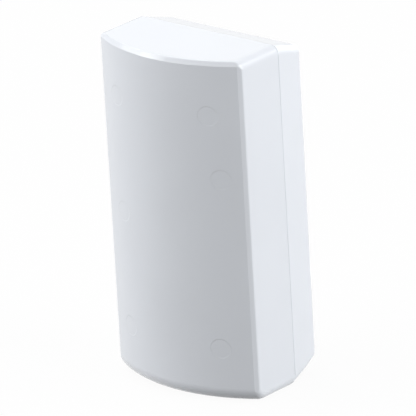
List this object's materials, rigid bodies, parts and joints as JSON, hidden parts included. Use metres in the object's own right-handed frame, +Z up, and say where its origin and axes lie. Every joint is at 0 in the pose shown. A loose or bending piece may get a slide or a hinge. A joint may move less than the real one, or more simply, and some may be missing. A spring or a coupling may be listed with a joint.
{
  "type": "door window sensor",
  "caption": "Tall white wall sensor for a door or window, with a curved push-on front cover, a tapered rear base, and battery, reed switch and radio board inside.",
  "frame": {"origin": "middle of the wall face of the rear base, halfway between the two wall screw holes", "axes": "+Y points into the wall and -Y out of the curved front, +Z is up along the housing, +X is to the right seen from the front"},
  "size_m": [0.0388, 0.0266, 0.0764],
  "materials": {
    "front_cover": "fine satin, white",
    "rear_base": "fine satin, white",
    "circuit_board": "green solder mask",
    "board_screws": "zinc plated",
    "battery_cell": "plain sleeve with bare metal ends",
    "battery_holder": "moulded black",
    "battery_contact_positive": "nickel plated",
    "battery_contact_negative": "nickel plated",
    "reed_switch_glass": "clear, greenish",
    "reed_switch_leads": "tinned",
    "tamper_switch_body": "moulded black",
    "tamper_switch_plunger": "moulded red",
    "learn_button_body": "moulded black",
    "learn_button_cap": "moulded ivory",
    "terminal_block": "moulded green",
    "terminal_clamps": "plated",
    "terminal_screws": "zinc plated",
    "radio_shield": "tinned sheet",
    "radio_chip": "moulded black",
    "antenna_coil": "bare copper wire",
    "microcontroller": "moulded black, tinned leads",
    "voltage_regulator": "moulded black, tinned leads",
    "crystal": "plated lid",
    "electrolytic_capacitor": "satin can on a black base",
    "status_led": "clear lens on a white base",
    "chip_capacitors": "tan ceramic with tinned ends",
    "chip_resistors": "black film with tinned ends"
  },
  "bodies": {
    "base": {"rear_base": "rear_base", "circuit_board": "circuit_board", "board_screws": "board_screws", "battery_cell": "battery_cell", "battery_holder": "battery_holder", "battery_contact_positive": "battery_contact_positive", "battery_contact_negative": "battery_contact_negative", "reed_switch_glass": "reed_switch_glass", "reed_switch_leads": "reed_switch_leads", "tamper_switch_body": "tamper_switch_body", "learn_button_body": "learn_button_body", "terminal_block": "terminal_block", "terminal_clamps": "terminal_clamps", "terminal_screws": "terminal_screws", "radio_shield": "radio_shield", "radio_chip": "radio_chip", "antenna_coil": "antenna_coil", "microcontroller": "microcontroller", "voltage_regulator": "voltage_regulator", "crystal": "crystal", "electrolytic_capacitor": "electrolytic_capacitor", "status_led": "status_led", "chip_capacitors": "chip_capacitors", "chip_resistors": "chip_resistors"},
    "cover": {"front_cover": "front_cover"},
    "tamper_plunger": {"tamper_switch_plunger": "tamper_switch_plunger"},
    "learn_cap": {"learn_button_cap": "learn_button_cap"}
  },
  "joints": [
    {"name": "cover_pull", "type": "slide", "parent": "base", "child": "cover", "axis": [0, -1, 0], "range_m": [0, 0.03]},
    {"name": "tamper_press", "type": "slide", "parent": "base", "child": "tamper_plunger", "axis": [0, 1, 0], "range_m": [0, 0.0008], "stiffness_N_per_m": 1000, "springref_m": -0.0003},
    {"name": "learn_press", "type": "slide", "parent": "base", "child": "learn_cap", "axis": [0, 1, 0], "range_m": [0, 0.0004], "stiffness_N_per_m": 2000, "springref_m": -0.0003}
  ]
}
